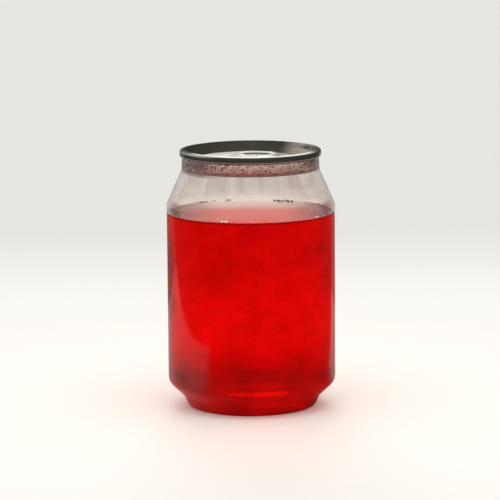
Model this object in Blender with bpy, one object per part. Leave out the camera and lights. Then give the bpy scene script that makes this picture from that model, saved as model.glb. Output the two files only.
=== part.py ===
"""A short clear PET drink can: a blow-moulded body, a red drink, and an aluminium
easy-open end with its pull tab seamed on top. Metres, +Z up, origin on the floor at
the can's axis. The tab's finger end points to +Y, turned a little towards +X."""

import math

import bmesh
import bpy
from mathutils import Matrix, Vector

# Whole can
CAN_HEIGHT = 0.1004
SEGMENTS = 40
CORNER_STEPS = 3

# Blow-moulded PET body
BODY_RADIUS = 0.0325
WALL = 0.0005
CHAMFER_TOP = 0.0098
BODY_TOP = 0.0790
SHOULDER_TOP = 0.09225
NECK_BASE_RADIUS = 0.02667
NECK_RADIUS = 0.02635
FOOT_RADIUS = 0.02467
FOOT_TOP_RADIUS = 0.02655
FOOT_HEIGHT = 0.0042
CONTACT_INNER_RADIUS = 0.0220
DOME_RADIUS = 0.0212
DOME_HEIGHT = 0.0058
FLANGE_REACH = 0.0004
FLANGE_HEIGHT = 0.0005

# Drink
LIQUID_LEVEL = 0.0761
FIT_GAP = 0.0003

# Double seam of the end
SHEET = 0.00025
SEAM_RADIUS = 0.0273
SEAM_WIDTH = 0.00197
SEAM_HEIGHT = 0.00255
SEAM_LIP = 0.0007

# Countersink, panel and rivet of the end
COUNTERSINK_DEPTH = 0.00685
COUNTERSINK_RADIUS = 0.0237
PANEL_RADIUS = 0.0220
PANEL_DEPTH = 0.00375
DEBOSS_RADIUS = 0.0184
DEBOSS_DEPTH = 0.00045
RIVET_RADIUS = 0.0015
RIVET_HEAD_RADIUS = 0.0027
RIVET_HEAD_THICKNESS = 0.00035
RIVET_HEAD_CLEARANCE = 0.00015

# Finger well, pressed into the panel under the tab's finger end
WELL_OFFSET = 0.0132
WELL_HALF_WIDTH = 0.0072
WELL_HALF_LENGTH = 0.0048
WELL_DEPTH = 0.0009

# Pull tab
TAB_TURN = math.radians(-17)
TAB_NOSE = 0.0099
TAB_HEEL = 0.0146
TAB_HALF_WIDTH = 0.0080
TAB_LIFT = 0.0003
TAB_CURL = 0.0011
TAB_RIM = 0.0020
TAB_WEB = 0.00035
TAB_WEB_RISE = 0.0002
TAB_NOSE_END = 0.0020
TAB_HEEL_START = 0.0055
TAB_NOSE_POWER = 2.2
TAB_HEEL_POWER = 3.0
HOLE_OFFSET = 0.0083
HOLE_HALF_WIDTH = 0.0056
HOLE_HALF_LENGTH = 0.0041
HOLE_POWER = 2.2
SLOT_INNER_RADIUS = 0.0036
SLOT_OUTER_RADIUS = 0.0045
SLOT_HALF_ANGLE = math.radians(105)

PANEL_TOP = CAN_HEIGHT - PANEL_DEPTH
DEBOSS_TOP = PANEL_TOP - DEBOSS_DEPTH


def clear_scene():
    """Remove every object that is already in the scene."""
    for item in list(bpy.data.objects):
        bpy.data.objects.remove(item, do_unlink=True)


def finish(name, colour, roughness, metallic=0.0, alpha=1.0, transmission=0.0):
    """A plain Principled material."""
    material = bpy.data.materials.new(name)
    material.use_nodes = True
    shader = material.node_tree.nodes["Principled BSDF"]
    shader.inputs["Base Color"].default_value = (*colour, 1.0)
    shader.inputs["Roughness"].default_value = roughness
    shader.inputs["Metallic"].default_value = metallic
    shader.inputs["Alpha"].default_value = alpha
    shader.inputs["Transmission Weight"].default_value = transmission
    return material


def rounded_path(corners):
    """Polyline of (radius, height) points with each corner (r, z, fillet) rounded."""
    path = [Vector(corners[0][:2])]
    for before, corner, after in zip(corners, corners[1:], corners[2:]):
        apex = Vector(corner[:2])
        fillet = corner[2]
        to_before = (Vector(before[:2]) - apex).normalized()
        to_after = (Vector(after[:2]) - apex).normalized()
        half_angle = to_before.angle(to_after) / 2
        if fillet == 0:
            path.append(apex)
            continue
        centre = apex + (to_before + to_after).normalized() * fillet / math.sin(half_angle)
        start = apex + to_before * fillet / math.tan(half_angle) - centre
        end = apex + to_after * fillet / math.tan(half_angle) - centre
        sweep = start.angle_signed(end)
        for step in range(CORNER_STEPS + 1):
            turn = Matrix.Rotation(-sweep * step / CORNER_STEPS, 2)
            path.append(centre + turn @ start)
    path.append(Vector(corners[-1][:2]))
    return path


def offset_path(path, distance):
    """The path moved sideways: to its left for a positive distance."""
    moved = []
    for index, point in enumerate(path):
        before = path[max(index - 1, 0)]
        after = path[min(index + 1, len(path) - 1)]
        first = (point - before).normalized() if index > 0 else (after - point).normalized()
        last = (after - point).normalized() if index < len(path) - 1 else first
        normal = (first.orthogonal() + last.orthogonal()).normalized()
        stretch = max(normal.dot(first.orthogonal()), 0.5)
        moved.append(point + normal * distance / stretch)
    return moved


def mesh_object(name, bm, material):
    """Turn a bmesh into a named object with smooth shading and its material."""
    bmesh.ops.recalc_face_normals(bm, faces=bm.faces)
    mesh = bpy.data.meshes.new(name)
    bm.to_mesh(mesh)
    bm.free()
    mesh.shade_smooth()
    mesh.set_sharp_from_angle(angle=math.radians(35))
    mesh.materials.append(material)
    item = bpy.data.objects.new(name, mesh)
    bpy.context.scene.collection.objects.link(item)
    return item


def turned(profile, closed):
    """Spin a profile of (radius, height) points round the can's axis."""
    bm = bmesh.new()
    verts = [bm.verts.new((point.x, 0, point.y)) for point in profile]
    edges = [bm.edges.new(pair) for pair in zip(verts, verts[1:])]
    if closed:
        edges.append(bm.edges.new((verts[-1], verts[0])))
    bmesh.ops.spin(bm, geom=verts + edges, axis=(0, 0, 1), cent=(0, 0, 0),
                   steps=SEGMENTS, angle=math.tau, use_merge=True)
    bmesh.ops.remove_doubles(bm, verts=bm.verts, dist=1e-6)
    return bm


def body_outline():
    """Outer side of the body, from the middle of the base up to the neck's flange."""
    flange_top = CAN_HEIGHT - SHEET - FIT_GAP
    flange_bottom = flange_top - FLANGE_HEIGHT
    return rounded_path([
        (0, DOME_HEIGHT),
        (DOME_RADIUS * 0.55, DOME_HEIGHT * 0.80, 0.0200),
        (DOME_RADIUS, 0.0008, 0.0008),
        (CONTACT_INNER_RADIUS, 0, 0),
        (FOOT_RADIUS, 0, 0.0022),
        (FOOT_TOP_RADIUS, FOOT_HEIGHT, 0.0010),
        (BODY_RADIUS, CHAMFER_TOP, 0.0045),
        (BODY_RADIUS, BODY_TOP, 0.0030),
        (NECK_BASE_RADIUS, SHOULDER_TOP, 0.0026),
        (NECK_RADIUS, flange_bottom, 0),
        (NECK_RADIUS + FLANGE_REACH, flange_bottom + FLANGE_REACH / 2, 0),
        (NECK_RADIUS + FLANGE_REACH, flange_top),
    ])


def body_inside(depth):
    """The body's outline moved inwards by a depth, up to the straight neck."""
    outline = body_outline()
    neck_end = len(outline) - 3
    return offset_path(outline[:neck_end + 1], depth)


def make_body():
    """The PET body, open at the neck."""
    outline = body_outline()
    inside = body_inside(WALL)
    inside[0].x = 0
    inside[-1].y = outline[-1].y
    material = finish("clear_pet", (0.95, 0.97, 0.97), 0.04, alpha=0.3, transmission=1.0)
    mesh_object("pet_body", turned(outline + inside[::-1], closed=False), material)


def make_drink():
    """The drink, just inside the body, up to its level."""
    inside = [point for point in body_inside(WALL + FIT_GAP) if point.y < LIQUID_LEVEL]
    inside[0].x = 0
    surface = [Vector((inside[-1].x, LIQUID_LEVEL)), Vector((0, LIQUID_LEVEL))]
    material = finish("red_drink", (0.62, 0.002, 0.006), 0.05, transmission=0.6)
    mesh_object("drink", turned(inside + surface, closed=False), material)


def end_path():
    """Top side of the end's sheet, from the rivet's edge out to the lip of the seam."""
    seam_bottom = CAN_HEIGHT - SEAM_HEIGHT
    seam_inner = SEAM_RADIUS - SEAM_WIDTH
    sink = CAN_HEIGHT - COUNTERSINK_DEPTH
    return rounded_path([
        (RIVET_RADIUS, DEBOSS_TOP),
        (0.0045, DEBOSS_TOP, 0),
        (0.0075, DEBOSS_TOP, 0),
        (0.0098, DEBOSS_TOP, 0),
        (0.0120, DEBOSS_TOP, 0),
        (0.0140, DEBOSS_TOP, 0),
        (0.0160, DEBOSS_TOP, 0),
        (DEBOSS_RADIUS - DEBOSS_DEPTH, DEBOSS_TOP, 0),
        (DEBOSS_RADIUS, PANEL_TOP, 0),
        (PANEL_RADIUS, PANEL_TOP, 0.0008),
        (PANEL_RADIUS + 0.0003, sink, 0.0007),
        (COUNTERSINK_RADIUS, sink, 0.0007),
        (seam_inner - 0.0003, CAN_HEIGHT - 0.0022, 0),
        (seam_inner, CAN_HEIGHT, 0.0006),
        (SEAM_RADIUS, CAN_HEIGHT, 0.0006),
        (SEAM_RADIUS, seam_bottom, 0.0004),
        (SEAM_RADIUS - SEAM_LIP, seam_bottom),
    ])


def tab_frame(x, y):
    """A point of the panel as seen from the tab: across it, and along to its finger end."""
    across = x * math.cos(TAB_TURN) + y * math.sin(TAB_TURN)
    along = y * math.cos(TAB_TURN) - x * math.sin(TAB_TURN)
    return across, along


def well_depth(x, y):
    """How far the finger well lowers the panel at a point."""
    across, along = tab_frame(x, y)
    reach = math.hypot(across / WELL_HALF_WIDTH, (along - WELL_OFFSET) / WELL_HALF_LENGTH)
    if reach > 1:
        return 0.0
    return WELL_DEPTH * (1 + math.cos(math.pi * reach)) / 2


def make_end():
    """The aluminium end: seam, countersink, panel with finger well, and hollow rivet."""
    top = end_path()
    under = offset_path(top, -SHEET)
    head_bottom = DEBOSS_TOP + TAB_LIFT + TAB_WEB_RISE + TAB_WEB + RIVET_HEAD_CLEARANCE
    head_top = head_bottom + RIVET_HEAD_THICKNESS
    head = [
        Vector((0, head_top)),
        Vector((RIVET_HEAD_RADIUS * 0.85, head_top)),
        Vector((RIVET_HEAD_RADIUS, (head_top + head_bottom) / 2)),
        Vector((RIVET_HEAD_RADIUS * 0.9, head_bottom)),
        Vector((RIVET_RADIUS, head_bottom)),
    ]
    hollow = [
        Vector((RIVET_RADIUS - SHEET, DEBOSS_TOP - SHEET)),
        Vector((RIVET_RADIUS - 2 * SHEET, head_bottom)),
        Vector((0, head_bottom)),
    ]
    bm = turned(head + top + under[:0:-1] + hollow, closed=False)
    for vert in bm.verts:
        if vert.co.xy.length < DEBOSS_RADIUS - DEBOSS_DEPTH:
            vert.co.z -= well_depth(vert.co.x, vert.co.y)
    mesh_object("can_end", bm, finish("aluminium", (0.80, 0.78, 0.74), 0.25, metallic=1.0))


def squared_round(angle, power):
    """Direction on a unit circle that is squared up by a power above 2."""
    across = math.copysign(abs(math.cos(angle)) ** (2 / power), math.cos(angle))
    along = math.copysign(abs(math.sin(angle)) ** (2 / power), math.sin(angle))
    return across, along


def tab_outline(inset):
    """Points round the tab, moved inwards by an inset, with the rivet at the origin."""
    half_count = 22
    points = []
    for index in range(half_count + 1):
        across, along = squared_round(math.pi * index / half_count, TAB_HEEL_POWER)
        reach = TAB_HEEL - TAB_HEEL_START - inset
        points.append(((TAB_HALF_WIDTH - inset) * across, TAB_HEEL_START + reach * along))
    for index in range(half_count + 1):
        across, along = squared_round(math.pi * (1 + index / half_count), TAB_NOSE_POWER)
        reach = TAB_NOSE - TAB_NOSE_END - inset
        points.append(((TAB_HALF_WIDTH - inset) * across, -TAB_NOSE_END + reach * along))
    return points


def finger_hole():
    """Outline of the tab's finger hole."""
    count = 24
    points = []
    for index in range(count):
        across, along = squared_round(math.tau * index / count, HOLE_POWER)
        points.append((HOLE_HALF_WIDTH * across, HOLE_OFFSET + HOLE_HALF_LENGTH * along))
    return points


def rivet_hole():
    """Outline of the round hole that the rivet's post passes through."""
    count = 16
    radius = RIVET_RADIUS + FIT_GAP
    return [(radius * math.cos(math.tau * index / count),
             radius * math.sin(math.tau * index / count)) for index in range(count)]


def hinge_slot():
    """Outline of the curved slot round the nose side of the rivet."""
    count = 10
    points = []
    for index in range(count + 1):
        angle = -math.pi / 2 - SLOT_HALF_ANGLE + 2 * SLOT_HALF_ANGLE * index / count
        points.append((SLOT_OUTER_RADIUS * math.cos(angle), SLOT_OUTER_RADIUS * math.sin(angle)))
    for index in range(count, -1, -1):
        angle = -math.pi / 2 - SLOT_HALF_ANGLE + 2 * SLOT_HALF_ANGLE * index / count
        points.append((SLOT_INNER_RADIUS * math.cos(angle), SLOT_INNER_RADIUS * math.sin(angle)))
    return points


def add_loop(bm, points, height):
    """A closed loop of edges at one height."""
    verts = [bm.verts.new((x, y, height)) for x, y in points]
    edges = [bm.edges.new((vert, verts[index - 1])) for index, vert in enumerate(verts)]
    return verts, edges


def join_loops(bm, lower, upper):
    """A band of quads between two loops of equal count."""
    for index in range(len(lower)):
        bm.faces.new((lower[index - 1], lower[index], upper[index], upper[index - 1]))


def make_tab():
    """The pull tab: a curled rim round a thin web with its three openings."""
    bm = bmesh.new()
    web_bottom = TAB_LIFT + TAB_WEB_RISE
    web_top = web_bottom + TAB_WEB
    rim_top = TAB_LIFT + TAB_CURL
    rim_middle = TAB_LIFT + TAB_CURL / 2
    section = [
        (TAB_RIM, web_bottom),
        (TAB_RIM * 0.80, TAB_LIFT),
        (TAB_RIM * 0.22, TAB_LIFT),
        (TAB_RIM * 0.05, TAB_LIFT + TAB_CURL * 0.22),
        (0, rim_middle),
        (TAB_RIM * 0.05, rim_top - TAB_CURL * 0.22),
        (TAB_RIM * 0.22, rim_top - TAB_CURL * 0.04),
        (TAB_RIM * 0.50, rim_top),
        (TAB_RIM * 0.80, rim_top - TAB_CURL * 0.12),
        (TAB_RIM, web_top),
    ]
    loops = [add_loop(bm, tab_outline(inset), height) for inset, height in section]
    for (lower, _), (upper, _) in zip(loops, loops[1:]):
        join_loops(bm, lower, upper)
    bottom_edges = list(loops[0][1])
    top_edges = list(loops[-1][1])
    for outline in (finger_hole(), rivet_hole(), hinge_slot()):
        lower, lower_edges = add_loop(bm, outline, web_bottom)
        upper, upper_edges = add_loop(bm, outline, web_top)
        join_loops(bm, lower, upper)
        bottom_edges += lower_edges
        top_edges += upper_edges
    bmesh.ops.triangle_fill(bm, edges=bottom_edges, use_beauty=True)
    bmesh.ops.triangle_fill(bm, edges=top_edges, use_beauty=True)
    tab = mesh_object("pull_tab", bm, finish("tab_aluminium", (0.84, 0.81, 0.76), 0.22, metallic=1.0))
    tab.location = (0, 0, DEBOSS_TOP)
    tab.rotation_euler = (0, 0, TAB_TURN)


clear_scene()
make_body()
make_drink()
make_end()
make_tab()
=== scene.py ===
"""Looks of a short clear PET drink can: blow-moulded body, red drink with its bubbles and
condensation, and a seamed aluminium easy-open end with a pull tab, in pale studio light."""
import math
import random

import bmesh
import bpy
import numpy as np
from mathutils import Matrix, Vector


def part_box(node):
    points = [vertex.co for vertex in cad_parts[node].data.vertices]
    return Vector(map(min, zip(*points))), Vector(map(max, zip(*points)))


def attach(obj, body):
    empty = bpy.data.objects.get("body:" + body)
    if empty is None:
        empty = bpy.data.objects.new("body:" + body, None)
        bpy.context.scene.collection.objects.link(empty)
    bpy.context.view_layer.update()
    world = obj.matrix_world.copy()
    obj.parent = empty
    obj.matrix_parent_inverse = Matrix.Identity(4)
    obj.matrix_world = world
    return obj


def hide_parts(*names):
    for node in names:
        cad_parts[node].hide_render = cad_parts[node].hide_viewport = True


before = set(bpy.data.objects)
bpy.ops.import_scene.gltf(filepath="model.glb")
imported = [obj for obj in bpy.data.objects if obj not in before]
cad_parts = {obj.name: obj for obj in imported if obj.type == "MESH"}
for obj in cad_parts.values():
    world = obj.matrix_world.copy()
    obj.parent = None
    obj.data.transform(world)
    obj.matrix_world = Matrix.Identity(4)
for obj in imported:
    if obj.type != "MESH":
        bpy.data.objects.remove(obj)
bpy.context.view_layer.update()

MM = 0.001
ROOT = "root"

# The can's own sizes, read from the frame where the frame has them
BODY_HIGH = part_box("pet_body")[1]
DRINK_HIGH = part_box("drink")[1]
END_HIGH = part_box("can_end")[1]
TAB_LOW, TAB_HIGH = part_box("pull_tab")
CAN_HEIGHT = END_HIGH.z
BODY_RADIUS = BODY_HIGH.x
SEAM_RADIUS = END_HIGH.x
LIQUID_LEVEL = DRINK_HIGH.z

# Blow-moulded body
WALL = 0.5 * MM
CHAMFER_TOP = 9.8 * MM
BODY_TOP = 79.0 * MM
SHOULDER_TOP = 92.25 * MM
NECK_BASE_RADIUS = 26.67 * MM
NECK_RADIUS = 26.35 * MM
FOOT_RADIUS = 24.67 * MM
FOOT_TOP_RADIUS = 26.55 * MM
FOOT_HEIGHT = 4.2 * MM
CONTACT_INNER_RADIUS = 22.0 * MM
DOME_RADIUS = 21.2 * MM
DOME_HEIGHT = 5.8 * MM
FLANGE_REACH = 0.4 * MM
FLANGE_HEIGHT = 0.5 * MM
GATE_RADIUS = 1.6 * MM
GATE_HEIGHT = 0.5 * MM
NECK_FROM = 92.7 * MM

# How clear things bend light
PET_IOR = 1.575
DRINK_IOR = 1.34
WATER_IOR = 1.33

# Drink: its open surface starts at the margins below its level and inside its edge
DRINK_INTO_WALL = 0.25 * MM
MENISCUS_HEIGHT = 0.35 * MM
MENISCUS_REACH = 1.0 * MM
FINE_RINGS = 32
FINE_RINGS_REACH = 14.0 * MM
TOP_MARGIN = 0.2 * MM
WALL_MARGIN = 0.08 * MM

# Where the drink's look changes, with painted shade at its edge and painted light and
# reflection on its open surface: each span starts at its first place and is full at its last
CLOUDY_BASE = (6.0 * MM, 24.0 * MM)
SHADED_EDGE_LINE = (LIQUID_LEVEL - 1.2 * MM, LIQUID_LEVEL - 0.5 * MM)
PINK_REFLECTION_SPAN = (-31.0 * MM, -14.0 * MM)
PALE_HIGHLIGHT_FILM = (-1.0 * MM, 22.0 * MM)
SHADED_SURFACE_SIDES = (10.0 * MM, 32.0 * MM)

# Strings of bubbles on the drink: angle in degrees, distance from the axis in millimetres,
# count, and largest radius in millimetres
PALE_BUBBLES = (
    (133.0, 31.0, 9, 0.50),
    (146.0, 31.4, 9, 0.45),
    (10.0, 31.4, 12, 0.55),
    (33.0, 30.8, 10, 0.50),
    (186.0, 31.6, 16, 0.32),
    (250.0, 31.2, 2, 0.75),
    (322.5, 31.3, 1, 0.50),
    (331.0, 31.3, 3, 0.60),
    (341.0, 31.3, 4, 0.55),
)
DARK_BUBBLES = (
    (126.0, 29.8, 6, 0.50),
    (118.5, 29.6, 2, 0.45),
    (106.5, 29.2, 3, 0.50),
    (54.0, 27.6, 9, 0.62),
    (61.0, 25.6, 3, 0.50),
    (24.0, 31.2, 6, 0.45),
)

# Painted light and shade in the drink: lighter and darker patches where light through it is
# bright or dim, with middle and half size in millimetres, and how much lighter. Each fades out
# over its edge, which counts in half sizes.
PAINTED_GLOW_AND_SHADE = (
    ((-24.0, -24.0, 14.0), (9.0, 13.0, 7.0), -0.32),
    ((10.0, -29.0, 38.0), (9.0, 10.0, 18.0), 0.16),
    ((-14.0, -28.0, 37.0), (9.0, 12.0, 12.0), 0.10),
    ((29.0, -14.0, 62.0), (4.5, 9.0, 17.0), -0.24),
    ((25.0, -18.0, 16.0), (9.0, 10.0, 6.0), 0.55),
    ((1.0, -28.0, 8.0), (14.0, 14.0, 5.0), -0.12),
    ((-32.0, -6.0, 52.0), (4.5, 14.0, 22.0), -0.55),
)
PAINTED_PATCH_EDGE = (1.3, 0.6)
CLOUD_GRAIN = 11.0 * MM
STIR_GRAIN = 9.0 * MM
STIR_REACH = 14.0 * MM

# Drops and bubbles that are strewn
DROP_COUNT = 620
DROP_SMALLEST = 0.12 * MM
DROP_SPREAD = 0.3 * MM
WALL_STRINGS = 10
WALL_BUBBLE = 0.3 * MM
AFLOAT_STRINGS = 22
AFLOAT_BUBBLE = 0.2 * MM

# End
SHEET = 0.25 * MM
SEAM_WIDTH = 1.75 * MM
SEAM_HEIGHT = 2.55 * MM
SEAM_LIP = 0.7 * MM
UNDER_SEAM = CAN_HEIGHT - SEAM_HEIGHT
SEAM_BEVEL = 0.45 * MM
SEAM_BEVEL_DROP = 0.15 * MM
SEAM_CREST_DROP = 0.25 * MM
SEAM_HEM = 0.35 * MM
MOUTH_OFFSET = 9.3 * MM
MOUTH_HALF_WIDTH = 10.5 * MM
MOUTH_HALF_LENGTH = 7.6 * MM
SCORE_DEPTH = 0.16 * MM
SCORE_WIDTH = 0.4 * MM
BEAD_INSET = 1.8 * MM
BEAD_HEIGHT = 0.2 * MM
BEAD_WIDTH = 0.6 * MM
COUNTERSINK_DEPTH = 6.85 * MM
COUNTERSINK_RADIUS = 23.7 * MM
PANEL_RADIUS = 22.0 * MM
PANEL_TOP = CAN_HEIGHT - 3.75 * MM
WELL_OFFSET = 13.2 * MM
WELL_HALF_WIDTH = 7.2 * MM
WELL_HALF_LENGTH = 4.8 * MM
WELL_DEPTH = 0.9 * MM
DEBOSS_RADIUS = 18.4 * MM
DEBOSS_DEPTH = 0.45 * MM
DEBOSS_TOP = PANEL_TOP - DEBOSS_DEPTH
RIVET_RADIUS = 1.5 * MM
RIVET_HEAD_RADIUS = 2.7 * MM
RIVET_HEAD_THICKNESS = 0.35 * MM
RIVET_HEAD_CLEARANCE = 0.15 * MM
RIVET_PLAY = 0.3 * MM
# Span across the panel over which painted shade darkens it as mirror-like bare metal
SHADED_PANEL_SPAN = (0.0, 15.0 * MM)
MILL_LINE = 0.25 * MM
MILL_DEPTH = 0.02 * MM

# Condensation inside the shoulder and the neck, and painted shade in their crease and round the
# neck, in spans that start at their first place and are full at their last
FOG_RISE = (76.5 * MM, 78.8 * MM)
FOG_FRONT = (-3.0 * MM, -12.0 * MM)
THIN_FOG = (77.0 * MM, 78.6 * MM, 85.5 * MM, 90.0 * MM)
STAIN_HEIGHT = (BODY_TOP + 3.4 * MM, BODY_TOP + 1.2 * MM)
STAIN_ASIDE = (25.0 * MM, 28.5 * MM)
# Painted shade in the crease under the neck at the left
SHADED_CORNER_HEIGHT = (NECK_FROM - 1.3 * MM, NECK_FROM - 0.8 * MM)
SHADED_CORNER_LEFT = (-11.0 * MM, -19.0 * MM)
# Painted shade round the neck: at its sides, at its root and under the seam
SHADED_NECK_LEFT = (-13.0 * MM, -20.0 * MM)
SHADED_NECK_RIGHT = (18.5 * MM, 24.0 * MM)
SHADED_NECK_ROOT = (NECK_FROM + 2.2 * MM, NECK_FROM + 0.7 * MM)
SHADED_NECK_EAVES = (UNDER_SEAM - 0.9 * MM, UNDER_SEAM - 0.5 * MM)

# Runs of condensation on the slope, their width taken at one radius, and beads in the neck
RUN_WIDTH = 4.0 * MM
RUN_RADIUS = 28.0 * MM
RUN_LENGTH = 71.43 * MM
DEW_BEAD = 1.1 * MM
DEW_RELIEF = 0.15 * MM

# Pull tab
TAB_TURN = math.radians(-17)
TAB_NOSE = 9.9 * MM
TAB_HEEL = 14.6 * MM
TAB_HALF_WIDTH = 8.0 * MM
TAB_NOSE_END = 2.0 * MM
TAB_HEEL_START = 5.5 * MM
TAB_NOSE_POWER = 2.2
TAB_HEEL_POWER = 3.0
TAB_LIFT = TAB_LOW.z - DEBOSS_TOP
TAB_CURL = TAB_HIGH.z - TAB_LOW.z
TAB_CURL_SPREAD = 1.1
TAB_RIM = 1.45 * MM
TAB_WEB = 0.35 * MM
TAB_WEB_RISE = 0.2 * MM
HOLE_OFFSET = 8.3 * MM
HOLE_HALF_WIDTH = 5.6 * MM
HOLE_HALF_LENGTH = 4.1 * MM
HOLE_POWER = 2.2
SLOT_INNER_RADIUS = 3.6 * MM
SLOT_OUTER_RADIUS = 4.5 * MM
SLOT_HALF_ANGLE = math.radians(105)
HEM_WIDTH = 0.7 * MM
HEM_RISE = 0.3 * MM

# Fineness of the meshes, and the angle in degrees from which an edge is sharp
TURN_SEGMENTS = 192
END_SEGMENTS = 240
ARC_STEPS = 10
CURL_STEPS = 12
PROFILE_STEP = 1.2 * MM
END_STEP = 0.4 * MM
SHARP_FROM = 40

# Floor: spans in metres of the painted glow near the can and of the painted shade towards
# the back
FLOOR_RADIUS = 8.0
CAN_GLOW_SPAN = (0.22, 0.03)
BACK_SHADE_SPAN = (0.18, 0.48)

# What shiny things mirror of the floor: how dark it is at least and at the back, and each edge
# of the pale strip as a direction and the span over which it goes dark
MIRRORED_DARK = 0.63
MIRRORED_DARK_BACK = 0.87
MIRRORED_BACK = (0.16, 0.22)
STRIP_EDGES = (
    ((-0.6, 1.0, 0.0), (0.05, -0.03)),
    ((1.67, 1.0, 0.0), (-0.28, -0.36)),
    ((1.0, -0.6, 0.0), (0.03, 0.08)),
)

# Sky: the light all round and the patches laid over it, each with its direction, the angles in
# degrees at which it is full and gone, and its colour. Shiny things mirror a room instead.
OPEN_LIGHT = (0.89, 0.88, 0.86, 1.0)
LIGHT_PATCHES = (
    ((-0.05, 0.88, 0.46), 9, 18, (5.6, 5.54, 5.44, 1.0)),
    ((0.0, -0.6, 0.8), 10, 60, (1.45, 1.43, 1.40, 1.0)),
)
DARK_ROOM = (0.042, 0.042, 0.034, 1.0)
ROOM_PATCHES = (
    ((-0.88, 0.47, 0.22), 2, 60, (0.42, 0.39, 0.34, 1.0)),
    ((0.04, 0.82, 0.56), 13, 18, (1.9, 1.86, 1.78, 1.0)),
)

# Camera
CAMERA_LENS = 225.7
CAMERA_PLACE = (-0.412 * MM, -1.2, 254.0 * MM)
CAMERA_DOWN_DEG = 9.150
CAMERA_ROLL_DEG = -0.447


# ---- colours and nodes

def linear(hex_colour):
    """Linear RGBA of an sRGB hex colour such as "c0ffee"."""
    channels = [int(hex_colour[i:i + 2], 16) / 255 for i in (0, 2, 4)]
    return (*[c / 12.92 if c <= 0.04045 else ((c + 0.055) / 1.055) ** 2.4 for c in channels], 1.0)


def add_node(tree, kind, settings=None, values=None, links=None):
    """Add one node: its settings, its input values, and links into its inputs."""
    node = tree.nodes.new(kind)
    for name, value in (settings or {}).items():
        setattr(node, name, value)
    for name, value in (values or {}).items():
        node.inputs[name].default_value = value
    for name, socket in (links or {}).items():
        tree.links.new(socket, node.inputs[name])
    return node


def new_material(name):
    """An empty material with its Principled shader, output and object coordinates."""
    material = bpy.data.materials.new(name)
    material.use_nodes = True
    tree = material.node_tree
    shader = tree.nodes["Principled BSDF"]
    place = add_node(tree, "ShaderNodeTexCoord").outputs["Object"]
    return material, tree, shader, place


def clear_dielectric(name, ior, tint="ffffff"):
    """A clear material of one index, its tint taking a little at each crossing."""
    material, tree, shader, place = new_material(name)
    shader.inputs["Base Color"].default_value = linear(tint)
    shader.inputs["Transmission Weight"].default_value = 1.0
    shader.inputs["IOR"].default_value = ior
    shader.inputs["Roughness"].default_value = 0.0
    return material, tree, shader, place


def blow_moulded_pet():
    """Clear PET, stretch blow-moulded: glassy gloss on its outer side."""
    return clear_dielectric("blow_moulded_pet", PET_IOR, "fcfdfc")[0]


def wet_pet():
    """Inside of the PET where drink lies against it: it bends light but hardly mirrors any."""
    material, _, shader, _ = clear_dielectric("wet_pet", PET_IOR)
    shader.inputs["Specular Tint"].default_value = (0.0, 0.0, 0.0, 1.0)
    return material


def round_the_can(tree, place, round_scale, height_scale):
    """Coordinates that run round the can, so that a pattern follows its upright lines."""
    flat = add_node(tree, "ShaderNodeVectorMath", {"operation": "MULTIPLY"}, {1: (1.0, 1.0, 0.0)},
                    {0: place})
    outward = add_node(tree, "ShaderNodeVectorMath", {"operation": "NORMALIZE"},
                       links={0: flat.outputs["Vector"]})
    turned_by = add_node(tree, "ShaderNodeVectorMath", {"operation": "MULTIPLY"},
                         {1: (round_scale, round_scale, 0.0)}, {0: outward.outputs["Vector"]})
    raised = add_node(tree, "ShaderNodeVectorMath", {"operation": "MULTIPLY_ADD"},
                      {1: (0.0, 0.0, height_scale)},
                      {0: place, 2: turned_by.outputs["Vector"]})
    return raised.outputs["Vector"]


def soft_span(tree, measure, rise, fall=None):
    """0 to 1 over a span of a height or other measure, and back to 0 over the fall, if any."""
    low = add_node(tree, "ShaderNodeMapRange", {"interpolation_type": "SMOOTHSTEP"},
                   {"From Min": rise[0], "From Max": rise[1]}, {"Value": measure})
    if fall is None:
        return low.outputs["Result"]
    high = add_node(tree, "ShaderNodeMapRange", {"interpolation_type": "SMOOTHSTEP"},
                    {"From Min": fall[1], "From Max": fall[0]}, {"Value": measure})
    return add_node(tree, "ShaderNodeMath", {"operation": "MULTIPLY"},
                    links={0: low.outputs["Result"], 1: high.outputs["Result"]}).outputs["Value"]


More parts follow.
